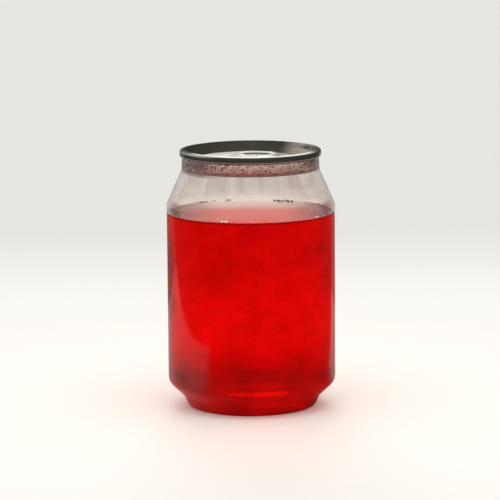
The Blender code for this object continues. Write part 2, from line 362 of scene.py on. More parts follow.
def fogged_pet():
    """Inside of the shoulder: a grey breath of condensation with runs down the slope. It is
    thin in a belt at the front, red with splashed drink at both sides of that, and darkened
    by painted shade in the crease under the neck at the left."""
    material, tree, shader, place = clear_dielectric("fogged_pet", PET_IOR)
    runs = add_node(tree, "ShaderNodeTexNoise",
                    values={"Scale": 1.0, "Detail": 2.0, "Roughness": 0.55},
                    links={"Vector": round_the_can(tree, place, RUN_RADIUS / RUN_WIDTH,
                                                   1 / RUN_LENGTH)})
    tone = add_node(tree, "ShaderNodeMapRange",
                    values={"From Min": 0.40, "From Max": 0.64},
                    links={"Value": runs.outputs["Fac"]})
    tint = add_node(tree, "ShaderNodeMix", {"data_type": "RGBA"},
                    {"A": linear("cdbfba"), "B": linear("eae0dc")},
                    {"Factor": tone.outputs["Result"]})
    spot = add_node(tree, "ShaderNodeSeparateXYZ", links={0: place})
    height = spot.outputs["Z"]
    front = soft_span(tree, spot.outputs["Y"], FOG_FRONT)
    belt = add_node(tree, "ShaderNodeMath", {"operation": "MULTIPLY"},
                    links={0: soft_span(tree, height, THIN_FOG[:2], THIN_FOG[2:]), 1: front})
    fog = add_node(tree, "ShaderNodeMath", {"operation": "SUBTRACT"},
                   links={0: soft_span(tree, height, FOG_RISE), 1: belt.outputs["Value"]})
    colour = add_node(tree, "ShaderNodeMix", {"data_type": "RGBA"}, {"A": linear("fdede8")},
                      {"Factor": fog.outputs["Value"], "B": tint.outputs["Result"]})
    aside = add_node(tree, "ShaderNodeMath", {"operation": "ABSOLUTE"},
                     links={0: spot.outputs["X"]}).outputs["Value"]
    splash = add_node(tree, "ShaderNodeMath", {"operation": "MULTIPLY"},
                      links={0: soft_span(tree, height, STAIN_HEIGHT), 1: front})
    stain = add_node(tree, "ShaderNodeMath", {"operation": "MULTIPLY"},
                     links={0: soft_span(tree, aside, STAIN_ASIDE), 1: splash.outputs["Value"]})
    # Painted shade: dark brown in the crease under the neck at the left
    corner = add_node(tree, "ShaderNodeMath", {"operation": "MULTIPLY"},
                      links={0: soft_span(tree, height, SHADED_CORNER_HEIGHT),
                             1: soft_span(tree, spot.outputs["X"], SHADED_CORNER_LEFT)})
    for patch, hex_colour in ((stain, "8c3c36"), (corner, "6e4e48")):
        colour = add_node(tree, "ShaderNodeMix", {"data_type": "RGBA"}, {"B": linear(hex_colour)},
                          {"Factor": patch.outputs["Value"], "A": colour.outputs["Result"]})
    tree.links.new(colour.outputs["Result"], shader.inputs["Base Color"])
    shader.inputs["Roughness"].default_value = 0.02
    return material


def beaded_pet():
    """Inside of the neck: beads of condensation so close that they look brownish grey, with
    painted shade that darkens them at the root of the neck, under the seam and at the sides."""
    material, tree, shader, place = clear_dielectric("beaded_pet", PET_IOR)
    beads = add_node(tree, "ShaderNodeTexNoise",
                     values={"Scale": 1 / DEW_BEAD, "Detail": 3.0, "Roughness": 0.6},
                     links={"Vector": place})
    tone = add_node(tree, "ShaderNodeMapRange",
                    values={"From Min": 0.38, "From Max": 0.62},
                    links={"Value": beads.outputs["Fac"]})
    tint = add_node(tree, "ShaderNodeMix", {"data_type": "RGBA"},
                    {"A": linear("a3918b"), "B": linear("eee0da")},
                    {"Factor": tone.outputs["Result"]})
    spot = add_node(tree, "ShaderNodeSeparateXYZ", links={0: place})
    # Painted shade: the neck darkened at its sides, at its root and under the seam
    shaded = add_node(tree, "ShaderNodeMath", {"operation": "MULTIPLY"}, {1: 0.8},
                      {0: soft_span(tree, spot.outputs["X"], SHADED_NECK_LEFT)})
    for axis, span in (("X", SHADED_NECK_RIGHT), ("Z", SHADED_NECK_ROOT), ("Z", SHADED_NECK_EAVES)):
        shaded = add_node(tree, "ShaderNodeMath", {"operation": "MAXIMUM"},
                          links={0: shaded.outputs["Value"],
                                 1: soft_span(tree, spot.outputs[axis], span)})
    tint = add_node(tree, "ShaderNodeMix", {"data_type": "RGBA"}, {"B": linear("4c2925")},
                    {"Factor": shaded.outputs["Value"], "A": tint.outputs["Result"]})
    bump = add_node(tree, "ShaderNodeBump", values={"Strength": 0.35, "Distance": DEW_RELIEF},
                    links={"Height": beads.outputs["Fac"]})
    tree.links.new(tint.outputs["Result"], shader.inputs["Base Color"])
    tree.links.new(bump.outputs["Normal"], shader.inputs["Normal"])
    shader.inputs["Specular Tint"].default_value = (0.5, 0.22, 0.2, 1.0)
    shader.inputs["Roughness"].default_value = 0.12
    return material


def drink_mottle_and_painted_light(tree, place):
    """How light each part of the drink is: broad patches of painted light and shade with ragged
    edges over a fine random mottle.
    """
    stir = add_node(tree, "ShaderNodeTexNoise",
                    values={"Scale": 1 / STIR_GRAIN, "Detail": 5.0, "Roughness": 0.6},
                    links={"Vector": place})
    drift = add_node(tree, "ShaderNodeVectorMath", {"operation": "SUBTRACT"},
                     {1: (0.5, 0.5, 0.5)}, {0: stir.outputs["Color"]})
    moved = add_node(tree, "ShaderNodeVectorMath", {"operation": "MULTIPLY_ADD"},
                     {1: (STIR_REACH,) * 3}, {0: drift.outputs["Vector"], 2: place})
    mottle = add_node(tree, "ShaderNodeTexNoise",
                      values={"Scale": 1 / CLOUD_GRAIN, "Detail": 6.0, "Roughness": 0.62},
                      links={"Vector": moved.outputs["Vector"]})
    tone = add_node(tree, "ShaderNodeMapRange", {"clamp": False},
                    {"From Min": 0.3, "From Max": 0.7, "To Min": 0.60, "To Max": 1.06},
                    {"Value": mottle.outputs["Fac"]}).outputs["Result"]
    # Painted light and shade: lighter and darker patches laid on the drink's colour
    for middle, half_size, gain in PAINTED_GLOW_AND_SHADE:
        centred = add_node(tree, "ShaderNodeVectorMath", {"operation": "SUBTRACT"},
                           {1: [value * MM for value in middle]}, {0: moved.outputs["Vector"]})
        scaled = add_node(tree, "ShaderNodeVectorMath", {"operation": "DIVIDE"},
                          {1: [value * MM for value in half_size]},
                          {0: centred.outputs["Vector"]})
        reach = add_node(tree, "ShaderNodeVectorMath", {"operation": "LENGTH"},
                         links={0: scaled.outputs["Vector"]})
        painted_patch = add_node(tree, "ShaderNodeMapRange", {"interpolation_type": "SMOOTHSTEP"},
                         {"From Min": PAINTED_PATCH_EDGE[0], "From Max": PAINTED_PATCH_EDGE[1],
                          "To Max": gain},
                         {"Value": reach.outputs["Value"]})
        tone = add_node(tree, "ShaderNodeMath", links={0: tone, 1: painted_patch.outputs["Result"]}
                        ).outputs["Value"]
    return tone


def surface_painted_light(tree, place):
    """Colour of the open surface, with painted light laid on by place: a pale film of foam and
    painted highlight at the back, painted pink reflection in the middle, red at the front edge
    and dark red painted shade at the sides."""
    spot = add_node(tree, "ShaderNodeSeparateXYZ", links={0: place})
    # Painted highlight, reflection and shade, laid on by place on the open surface
    highlight_film = soft_span(tree, spot.outputs["Y"], PALE_HIGHLIGHT_FILM)
    aside = add_node(tree, "ShaderNodeMath", {"operation": "ABSOLUTE"},
                     links={0: spot.outputs["X"]}).outputs["Value"]
    side_shade = add_node(tree, "ShaderNodeMath", {"operation": "MULTIPLY"}, {1: 0.95},
                     {0: soft_span(tree, aside, SHADED_SURFACE_SIDES)})
    pink_reflection = add_node(tree, "ShaderNodeMix", {"data_type": "RGBA"},
                    {"A": (1.0, 0.02, 0.02, 1.0), "B": (1.0, 0.26, 0.21, 1.0)},
                    {"Factor": soft_span(tree, spot.outputs["Y"], PINK_REFLECTION_SPAN)})
    highlighted = add_node(tree, "ShaderNodeMix", {"data_type": "RGBA"}, {"B": (1.0, 0.98, 0.91, 1.0)},
                    {"Factor": highlight_film, "A": pink_reflection.outputs["Result"]})
    shaded = add_node(tree, "ShaderNodeMix", {"data_type": "RGBA"}, {"B": (0.2, 0.02, 0.02, 1.0)},
                      {"Factor": side_shade.outputs["Value"], "A": highlighted.outputs["Result"]})
    return shaded.outputs["Result"], highlight_film


def red_soft_drink():
    """Red soft drink: it swallows green and blue in millimetres and is cloudy near the base.
    Its colour carries painted light and shade. Its open surface is dulled by foam and shows
    painted reflection, and where it wets the plastic it hardly mirrors."""
    material, tree, shader, place = clear_dielectric("red_soft_drink", DRINK_IOR)
    height = add_node(tree, "ShaderNodeSeparateXYZ", links={0: place}).outputs["Z"]
    high = add_node(tree, "ShaderNodeMath", {"operation": "GREATER_THAN"},
                    {1: LIQUID_LEVEL - MENISCUS_HEIGHT - TOP_MARGIN}, {0: height})
    flat = add_node(tree, "ShaderNodeVectorMath", {"operation": "MULTIPLY"},
                    {1: (1.0, 1.0, 0.0)}, {0: place})
    from_axis = add_node(tree, "ShaderNodeVectorMath", {"operation": "LENGTH"},
                         links={0: flat.outputs["Vector"]})
    within = add_node(tree, "ShaderNodeMath", {"operation": "LESS_THAN"},
                      {1: BODY_RADIUS - WALL + DRINK_INTO_WALL - WALL_MARGIN},
                      {0: from_axis.outputs["Value"]})
    open_top = add_node(tree, "ShaderNodeMath", {"operation": "MULTIPLY"},
                        links={0: high.outputs["Value"], 1: within.outputs["Value"]}
                        ).outputs["Value"]
    tint = add_node(tree, "ShaderNodeMix", {"data_type": "RGBA"},
                    {"A": (0.05, 0.0, 0.0, 1.0), "B": (1.0, 0.012, 0.01, 1.0)},
                    {"Factor": drink_mottle_and_painted_light(tree, place)})
    # Painted shade: a darker red band along the wall just under the drink's level
    edge_shaded = add_node(tree, "ShaderNodeMix", {"data_type": "RGBA"}, {"B": (0.3, 0.0, 0.0, 1.0)},
                      {"Factor": soft_span(tree, height, SHADED_EDGE_LINE), "A": tint.outputs["Result"]})
    # The open surface takes its painted light, reflection and shade
    surface, highlight_film = surface_painted_light(tree, place)
    colour = add_node(tree, "ShaderNodeMix", {"data_type": "RGBA"},
                      links={"Factor": open_top, "A": edge_shaded.outputs["Result"], "B": surface})
    settled = add_node(tree, "ShaderNodeMapRange", {"interpolation_type": "SMOOTHSTEP"},
                       {"From Min": CLOUDY_BASE[0], "From Max": CLOUDY_BASE[1],
                        "To Min": 0.38}, {"Value": height})
    highlight_filmed = add_node(tree, "ShaderNodeMapRange", values={"To Min": 0.12, "To Max": 0.0},
                      links={"Value": highlight_film})
    clear = add_node(tree, "ShaderNodeMix", {"data_type": "FLOAT"},
                     links={"Factor": open_top, "A": settled.outputs["Result"],
                            "B": highlight_filmed.outputs["Result"]})
    dulled = add_node(tree, "ShaderNodeMath", {"operation": "MULTIPLY"}, {1: 0.45},
                      {0: open_top})
    mirrored = add_node(tree, "ShaderNodeMix", {"data_type": "RGBA"},
                        {"A": (0.0, 0.0, 0.0, 1.0)},
                        {"Factor": dulled.outputs["Value"], "B": surface})
    gloss = add_node(tree, "ShaderNodeMath", {"operation": "MULTIPLY_ADD"}, {1: -0.49, 2: 0.5},
                     {0: open_top})
    tree.links.new(colour.outputs["Result"], shader.inputs["Base Color"])
    tree.links.new(mirrored.outputs["Result"], shader.inputs["Specular Tint"])
    tree.links.new(gloss.outputs["Value"], shader.inputs["Specular IOR Level"])
    tree.links.new(clear.outputs["Result"], shader.inputs["Transmission Weight"])
    depth = add_node(tree, "ShaderNodeVolumeAbsorption",
                     values={"Color": (0.985, 0.0, 0.04, 1.0), "Density": 110.0})
    tree.links.new(depth.outputs["Volume"], tree.nodes["Material Output"].inputs["Volume"])
    return material


def rolled_aluminium(name, hex_colour, roughness, metal=1.0, shaded_span=None):
    """Rolled aluminium sheet: parallel mill lines, drawn coarser than real ones so that they
    show, under a thin clear lacquer. Below a metal share of 1 the lacquer is a milky satin
    one, and over the shaded span it gives way to smoother bare metal that mirrors the dark
    room: a painted shade."""
    material, tree, shader, place = new_material(name)
    stretch = add_node(tree, "ShaderNodeVectorMath", {"operation": "MULTIPLY"},
                       {1: (0.02 / MILL_LINE, 1 / MILL_LINE, 0.2 / MILL_LINE)}, {0: place})
    grain = add_node(tree, "ShaderNodeTexNoise", values={"Scale": 1.0, "Detail": 3.0},
                     links={"Vector": stretch.outputs["Vector"]})
    shade = add_node(tree, "ShaderNodeMapRange",
                     values={"To Min": roughness * 0.8, "To Max": roughness * 1.25},
                     links={"Value": grain.outputs["Fac"]})
    bump = add_node(tree, "ShaderNodeBump", values={"Strength": 0.12, "Distance": MILL_DEPTH},
                    links={"Height": grain.outputs["Fac"]})
    shader.inputs["Base Color"].default_value = linear(hex_colour)
    shader.inputs["Metallic"].default_value = metal
    if shaded_span:
        # Painted shade: over the span the panel turns to smoother, fully metal, mirror-like sheet
        across = add_node(tree, "ShaderNodeSeparateXYZ", links={0: place}).outputs["X"]
        panel_shade = soft_span(tree, across, shaded_span)
        share = add_node(tree, "ShaderNodeMapRange", values={"To Min": metal},
                         links={"Value": panel_shade})
        polish = add_node(tree, "ShaderNodeMapRange", values={"To Min": 1.0, "To Max": 0.4},
                          links={"Value": panel_shade})
        shade = add_node(tree, "ShaderNodeMath", {"operation": "MULTIPLY"},
                         links={0: shade.outputs["Result"], 1: polish.outputs["Result"]})
        tree.links.new(share.outputs["Result"], shader.inputs["Metallic"])
    tree.links.new(shade.outputs[0], shader.inputs["Roughness"])
    tree.links.new(bump.outputs["Normal"], shader.inputs["Normal"])
    return material


def lacquered_underside():
    """The side that faces the drink: aluminium under a pale epoxy lacquer, satin and a little
    warm."""
    material, _, shader, _ = new_material("lacquered_underside")
    shader.inputs["Base Color"].default_value = linear("f6efea")
    shader.inputs["Metallic"].default_value = 1.0
    shader.inputs["Roughness"].default_value = 0.45
    return material


def shaded_bubble():
    """Thin-skinned bubble with nothing pale in it, tinted brownish dark as painted shade so that
    its dark outline shows.
    """
    return clear_dielectric("shaded_bubble", WATER_IOR, "6a4a42")[0]


def clear_water():
    """Condensed water: small drops that turn what lies behind them upside down, tinted
    brownish as painted shade of the neck."""
    return clear_dielectric("clear_water", WATER_IOR, "7c625b")[0]


def foam_skin():
    """Bubbles: thin wet skins that scatter some light, pale over the red drink."""
    material, _, shader, _ = clear_dielectric("foam_skin", WATER_IOR, "fff4ee")
    shader.inputs["Transmission Weight"].default_value = 0.15
    return material


def mirror_ray(tree):
    """1 for light that a shiny surface mirrors, 0 for what is seen straight or through glass."""
    path = add_node(tree, "ShaderNodeLightPath")
    return add_node(tree, "ShaderNodeMath", {"operation": "MULTIPLY"},
                    links={0: path.outputs["Is Glossy Ray"],
                           1: path.outputs["Is Reflection Ray"]}).outputs["Value"]


def floor_paper():
    """Matt white paper with a painted pinkish glow near the can, and greyer painted shade where
    it runs back. Shiny surfaces mirror a dimmed strip of it behind the can, and a dark room
    beyond."""
    material, tree, shader, place = new_material("floor_paper")
    spot = add_node(tree, "ShaderNodeSeparateXYZ", links={0: place})
    from_can = add_node(tree, "ShaderNodeVectorMath", {"operation": "LENGTH"}, links={0: place})
    # Painted light: a pinkish glow on the paper near the can
    glow = soft_span(tree, from_can.outputs["Value"], CAN_GLOW_SPAN)
    tone = add_node(tree, "ShaderNodeMix", {"data_type": "RGBA"},
                    {"A": linear("e8e7e4"), "B": linear("faf3ee")}, {"Factor": glow})
    # Painted shade: the paper greyer where it runs back
    tone = add_node(tree, "ShaderNodeMix", {"data_type": "RGBA"}, {"B": linear("d3d2cf")},
                    {"A": tone.outputs["Result"],
                     "Factor": soft_span(tree, spot.outputs["Y"], BACK_SHADE_SPAN)})
    back = add_node(tree, "ShaderNodeMath", {"operation": "MULTIPLY"}, {1: MIRRORED_DARK_BACK},
                    {0: soft_span(tree, spot.outputs["Y"], MIRRORED_BACK)})
    dark = add_node(tree, "ShaderNodeMath", {"operation": "MAXIMUM"}, {1: MIRRORED_DARK},
                    {0: back.outputs["Value"]})
    for direction, span in STRIP_EDGES:
        across = add_node(tree, "ShaderNodeVectorMath", {"operation": "DOT_PRODUCT"},
                          {1: direction}, {0: place})
        dark = add_node(tree, "ShaderNodeMath", {"operation": "MAXIMUM"},
                        links={0: dark.outputs["Value"],
                               1: soft_span(tree, across.outputs["Value"], span)})
    mirrored = add_node(tree, "ShaderNodeMath", {"operation": "MULTIPLY"},
                        links={0: mirror_ray(tree), 1: dark.outputs["Value"]})
    seen = add_node(tree, "ShaderNodeMix", {"data_type": "RGBA"}, {"B": linear("2c2c24")},
                    {"Factor": mirrored.outputs["Value"], "A": tone.outputs["Result"]})
    tree.links.new(seen.outputs["Result"], shader.inputs["Base Color"])
    shader.inputs["Roughness"].default_value = 0.85
    shader.inputs["Specular IOR Level"].default_value = 0.1
    return material


# ---- outlines and turning

def rounded_path(corners, arc_steps=ARC_STEPS):
    """Polyline of (radius, height) points with each corner (r, z, fillet) rounded."""
    path = [Vector(corners[0][:2])]
    for before, corner, after in zip(corners, corners[1:], corners[2:]):
        apex = Vector(corner[:2])
        fillet = corner[2]
        if fillet == 0:
            path.append(apex)
            continue
        to_before = (Vector(before[:2]) - apex).normalized()
        to_after = (Vector(after[:2]) - apex).normalized()
        half_angle = to_before.angle(to_after) / 2
        centre = apex + (to_before + to_after).normalized() * fillet / math.sin(half_angle)
        start = apex + to_before * fillet / math.tan(half_angle) - centre
        end = apex + to_after * fillet / math.tan(half_angle) - centre
        sweep = start.angle_signed(end)
        for step in range(arc_steps + 1):
            path.append(centre + Matrix.Rotation(-sweep * step / arc_steps, 2) @ start)
    path.append(Vector(corners[-1][:2]))
    return path


def offset_path(path, distance):
    """The path moved sideways: to its left for a positive distance."""
    moved = []
    for index, point in enumerate(path):
        before = path[max(index - 1, 0)]
        after = path[min(index + 1, len(path) - 1)]
        first = (point - before).normalized() if index > 0 else (after - point).normalized()
        last = (after - point).normalized() if index < len(path) - 1 else first
        normal = (first.orthogonal() + last.orthogonal()).normalized()
        stretch = max(normal.dot(first.orthogonal()), 0.5)
        moved.append(point + normal * distance / stretch)
    return moved


def divided(path, step):
    """The path with its long straight stretches cut into steps."""
    fine = [path[0]]
    for start, end in zip(path, path[1:]):
        cuts = max(1, math.ceil((end - start).length / step))
        fine += [start.lerp(end, cut / cuts) for cut in range(1, cuts + 1)]
    return fine


def split_at(path, height):
    """Cut a rising path in two at a height, both parts sharing the cut point."""
    for index in range(len(path) - 1, 0, -1):
        low, high = path[index - 1], path[index]
        if low.y < height <= high.y:
            cut = low.lerp(high, (height - low.y) / (high.y - low.y))
            return path[:index] + [cut], [cut] + path[index:]
    raise ValueError("path never crosses the height")


def turned(name, sections, materials, segments=TURN_SEGMENTS, sharp=SHARP_FROM):
    """Turn (path, material index) sections, laid end to end, round the can's axis."""
    profile = [sections[0][0][0]]
    marks = []
    for path, mark in sections:
        for point in path:
            if (point - profile[-1]).length > 1e-7:
                profile.append(point)
                marks.append(mark)
    turns = [math.tau * step / segments for step in range(segments)]
    vertices = []
    rings = []
    for point in profile:
        if point.x < 1e-6:
            rings.append([len(vertices)] * segments)
            vertices.append((0.0, 0.0, point.y))
        else:
            rings.append(list(range(len(vertices), len(vertices) + segments)))
            vertices += [(point.x * math.cos(turn), point.x * math.sin(turn), point.y)
                         for turn in turns]
    faces = []
    face_marks = []
    for low, high, mark in zip(rings, rings[1:], marks):
        for step in range(segments):
            after = (step + 1) % segments
            corners = dict.fromkeys((low[step], low[after], high[after], high[step]))
            faces.append(tuple(corners))
            face_marks.append(mark)
    mesh = bpy.data.meshes.new(name)
    mesh.from_pydata(vertices, [], faces)
    mesh.polygons.foreach_set("material_index", face_marks)
    return add_mesh(name, mesh, materials, sharp)


def add_mesh(name, mesh, materials, sharp=SHARP_FROM):
    """Finish a mesh as a smooth-shaded piece that rides on the can."""
    mesh.shade_smooth()
    mesh.set_sharp_from_angle(angle=math.radians(sharp))
    for material in materials:
        mesh.materials.append(material)
    piece = bpy.data.objects.new(name, mesh)
    bpy.context.scene.collection.objects.link(piece)
    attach(piece, ROOT)
    return piece


# ---- PET body

def body_outline():
    """Outer side of the body, from the middle of the base up to the neck's flange."""
    flange_top = BODY_HIGH.z
    flange_bottom = flange_top - FLANGE_HEIGHT
    return rounded_path([
        (0, DOME_HEIGHT - GATE_HEIGHT),
        (GATE_RADIUS, DOME_HEIGHT - GATE_HEIGHT, 0.3 * MM),
        (GATE_RADIUS + 0.2 * MM, DOME_HEIGHT, 0),
        (DOME_RADIUS * 0.55, DOME_HEIGHT * 0.80, 20.0 * MM),
        (DOME_RADIUS, 0.8 * MM, 0.8 * MM),
        (CONTACT_INNER_RADIUS, 0, 0),
        (FOOT_RADIUS, 0, 2.2 * MM),
        (FOOT_TOP_RADIUS, FOOT_HEIGHT, 1.0 * MM),
        (BODY_RADIUS, CHAMFER_TOP, 4.5 * MM),
        (BODY_RADIUS, BODY_TOP, 3.0 * MM),
        (NECK_BASE_RADIUS, SHOULDER_TOP, 2.6 * MM),
        (NECK_RADIUS, flange_bottom, 0),
        (NECK_RADIUS + FLANGE_REACH, flange_bottom + FLANGE_REACH / 2, 0),
        (NECK_RADIUS + FLANGE_REACH, flange_top),
    ])


def body_inside(depth):
    """The body's outline moved inwards by a depth, up to the straight neck."""
    outline = body_outline()
    return offset_path(outline[:len(outline) - 2], depth)


def make_body():
    """The clear body, open at the neck, where the end's seam grips its flange."""
    outside = body_outline()
    inside = body_inside(WALL)
    inside[0].x = 0
    inside[-1].y = outside[-1].y
    wet, above = split_at(divided(inside, PROFILE_STEP), LIQUID_LEVEL)
    fogged, beaded = split_at(above, NECK_FROM)
    body = turned("clear_body",
                  [(divided(outside, PROFILE_STEP), 0), (beaded[::-1], 1), (fogged[::-1], 2),
                   (wet[::-1], 3)],
                  [blow_moulded_pet(), beaded_pet(), fogged_pet(), wet_pet()])
    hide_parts("pet_body")


def make_drink():
    """The drink up to its level, reaching just into the wall, with its edge drawn up."""
    inside = divided(body_inside(WALL - DRINK_INTO_WALL), PROFILE_STEP)
    inside[0].x = 0
    side = split_at(inside, LIQUID_LEVEL)[0]
    edge_radius = side[-1].x
    surface = []
    for step in range(FINE_RINGS + 1):
        inwards = FINE_RINGS_REACH * (step / FINE_RINGS) ** 2
        climb = math.exp(-max(inwards - DRINK_INTO_WALL, 0) / MENISCUS_REACH)
        surface.append(Vector((edge_radius - inwards,
                               LIQUID_LEVEL - MENISCUS_HEIGHT * (1 - climb))))
    surface.append(Vector((0, LIQUID_LEVEL - MENISCUS_HEIGHT)))
    drink = turned("red_drink", [(side + divided(surface, PROFILE_STEP), 0)],
                   [red_soft_drink()], sharp=60)
    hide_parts("drink")


# ---- aluminium end

# Order of the end's materials; the last one is painted shade in the finger well and a painted
# pale line on the hem
PANEL, SEAM, UNDERSIDE, SHADE_AND_HEM_LINE = range(4)


def end_path():
    """Top side of the end's sheet, from the rivet's foot out to the lip of the seam, whose
    crest has a narrow bevel along its inner edge."""
    seam_inner = SEAM_RADIUS - SEAM_WIDTH
    sink = CAN_HEIGHT - COUNTERSINK_DEPTH
    return rounded_path([
        (RIVET_RADIUS, DEBOSS_TOP),
        (DEBOSS_RADIUS - 1.2 * DEBOSS_DEPTH, DEBOSS_TOP, 0.3 * MM),
        (DEBOSS_RADIUS, PANEL_TOP, 0.3 * MM),
        (PANEL_RADIUS, PANEL_TOP, 0.8 * MM),
        (PANEL_RADIUS + 0.3 * MM, sink, 0.7 * MM),
        (COUNTERSINK_RADIUS, sink, 0.7 * MM),
        (seam_inner - 0.3 * MM, CAN_HEIGHT - 2.2 * MM, 0),
        (seam_inner, CAN_HEIGHT, 0.12 * MM),
        (seam_inner + SEAM_BEVEL, CAN_HEIGHT - SEAM_BEVEL_DROP, 0.5 * MM),
        (SEAM_RADIUS, CAN_HEIGHT - SEAM_CREST_DROP, 0.7 * MM),
        (SEAM_RADIUS, UNDER_SEAM, 0.4 * MM),
        (SEAM_RADIUS - SEAM_LIP, UNDER_SEAM),
    ])


def along_tab(x, y):
    """A point of the panel in the tab's own directions: across it and towards its heel."""
    return (x * math.cos(TAB_TURN) + y * math.sin(TAB_TURN),
            y * math.cos(TAB_TURN) - x * math.sin(TAB_TURN))


def well_depth(x, y):
    """How far the finger well lowers the panel at a point."""
    across, along = along_tab(x, y)
    reach = math.hypot(across / WELL_HALF_WIDTH, (along - WELL_OFFSET) / WELL_HALF_LENGTH)
    return WELL_DEPTH * (1 + math.cos(math.pi * min(reach, 1))) / 2


def mouth_relief(x, y):
    """The score line round the mouth and the stiffening bead inside it."""
    across, along = along_tab(x, y)
    reach = math.hypot(across / MOUTH_HALF_WIDTH, (along + MOUTH_OFFSET) / MOUTH_HALF_LENGTH)
    outside = (reach - 1) * (MOUTH_HALF_WIDTH + MOUTH_HALF_LENGTH) / 2
    score = math.exp(-(outside / SCORE_WIDTH) ** 2)
    bead = math.exp(-((outside + BEAD_INSET) / BEAD_WIDTH) ** 2)
    return BEAD_HEIGHT * bead - SCORE_DEPTH * score


def make_end():
    """The end: panel, countersink and seam in one sheet, with its rivet. The finger well and
    the hem under the seam are a plain grey satin: painted shade in the well, and on the hem
    a painted pale line for the floor that its lower edge mirrors."""
    top = divided(end_path(), END_STEP)
    under = offset_path(top, -SHEET)
    panel = [point for point in top if point.x < PANEL_RADIUS - 0.4 * MM]
    rim = top[len(panel) - 1:]
    head_bottom = DEBOSS_TOP + TAB_LIFT + TAB_WEB_RISE + TAB_WEB + RIVET_HEAD_CLEARANCE
    head_top = head_bottom + RIVET_HEAD_THICKNESS
    head = rounded_path([
        (0, head_top - 0.08 * MM),
        (RIVET_HEAD_RADIUS * 0.5, head_top, 0.6 * MM),
        (RIVET_HEAD_RADIUS, head_top, 0.12 * MM),
        (RIVET_HEAD_RADIUS, head_bottom, 0.12 * MM),
        (RIVET_RADIUS, head_bottom),
    ], 5)
    hollow = [
        Vector((0, head_bottom)),
        Vector((RIVET_RADIUS - 2 * SHEET, head_bottom)),
        Vector((RIVET_RADIUS - SHEET, DEBOSS_TOP - SHEET)),
    ]
    end = turned("easy_open_end",
                 [(hollow + under[1:], UNDERSIDE), (rim[::-1], SEAM), (panel[::-1], PANEL),
                  (head[::-1], PANEL)],
                 [rolled_aluminium("panel_aluminium", "e6e3dc", 0.33, 0.35, SHADED_PANEL_SPAN),
                  rolled_aluminium("seam_aluminium", "e2dfd8", 0.14), lacquered_underside(),
                  rolled_aluminium("painted_shade_and_hem_line", "8f8a80", 0.3, 0.3)],
                 END_SEGMENTS)
    for vertex in end.data.vertices:
        reach = vertex.co.xy.length
        if RIVET_RADIUS + 0.1 * MM < reach < DEBOSS_RADIUS - DEBOSS_DEPTH:
            vertex.co.z += mouth_relief(*vertex.co.xy) - well_depth(*vertex.co.xy)
    hem_top = UNDER_SEAM + SEAM_HEM
    # Painted shade in the finger well, and a painted pale line on the hem under the seam
    for face in end.data.polygons:
        if face.material_index == PANEL and well_depth(*face.center.xy) > 0.05 * MM:
            face.material_index = SHADE_AND_HEM_LINE
        if face.center.z < hem_top and face.center.xy.length > SEAM_RADIUS - SEAM_LIP + SHEET:
            face.material_index = SHADE_AND_HEM_LINE
    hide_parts("can_end")


# ---- pull tab

def squared_round(angle, power):
    """Direction on a unit circle that is squared up by a power above 2."""
    across = math.copysign(abs(math.cos(angle)) ** (2 / power), math.cos(angle))
    along = math.copysign(abs(math.sin(angle)) ** (2 / power), math.sin(angle))
    return across, along


def tab_outline(inset, half_count=48):
    """Points round the tab, moved inwards by an inset, with the rivet at the origin."""
    heel = (0, TAB_HEEL_POWER, TAB_HEEL_START, TAB_HEEL - TAB_HEEL_START)
    nose = (1, TAB_NOSE_POWER, -TAB_NOSE_END, TAB_NOSE - TAB_NOSE_END)
    points = []
    for half_turns, power, start, reach in (heel, nose):
        for index in range(half_count + 1):
            across, along = squared_round(math.pi * (half_turns + index / half_count), power)
            points.append(((TAB_HALF_WIDTH - inset) * across, start + (reach - inset) * along))
    return points


def finger_hole(grow=0.0, count=64):
    """Outline of the tab's finger hole."""
    points = []
    for index in range(count):
        across, along = squared_round(math.tau * index / count, HOLE_POWER)
        points.append(((HOLE_HALF_WIDTH + grow) * across,
                       HOLE_OFFSET + (HOLE_HALF_LENGTH + grow) * along))
    return points


def rivet_hole(count=32):
    """Outline of the hole that the rivet passes through."""
    radius = RIVET_RADIUS + RIVET_PLAY
    turns = [math.tau * index / count for index in range(count)]
    return [(radius * math.cos(turn), radius * math.sin(turn)) for turn in turns]


def add_loop(bm, points, height):
    """A closed loop of edges at one height."""
    verts = [bm.verts.new((x, y, height)) for x, y in points]
    edges = [bm.edges.new((vert, verts[index - 1])) for index, vert in enumerate(verts)]
    return verts, edges


def join_loops(bm, lower, upper, mark):
    """A band of quads of one material between two loops of equal count."""
    for index in range(len(lower)):
        face = bm.faces.new((lower[index - 1], lower[index], upper[index], upper[index - 1]))
        face.material_index = mark


def hinge_slot(count=16):
    """Outline of the curved slot round the nose side of the rivet."""
    points = []
    for radius, order in ((SLOT_OUTER_RADIUS, range(count + 1)),
                          (SLOT_INNER_RADIUS, range(count, -1, -1))):
        for index in order:
            angle = -math.pi / 2 + SLOT_HALF_ANGLE * (2 * index / count - 1)
            points.append((radius * math.cos(angle), radius * math.sin(angle)))
    return points


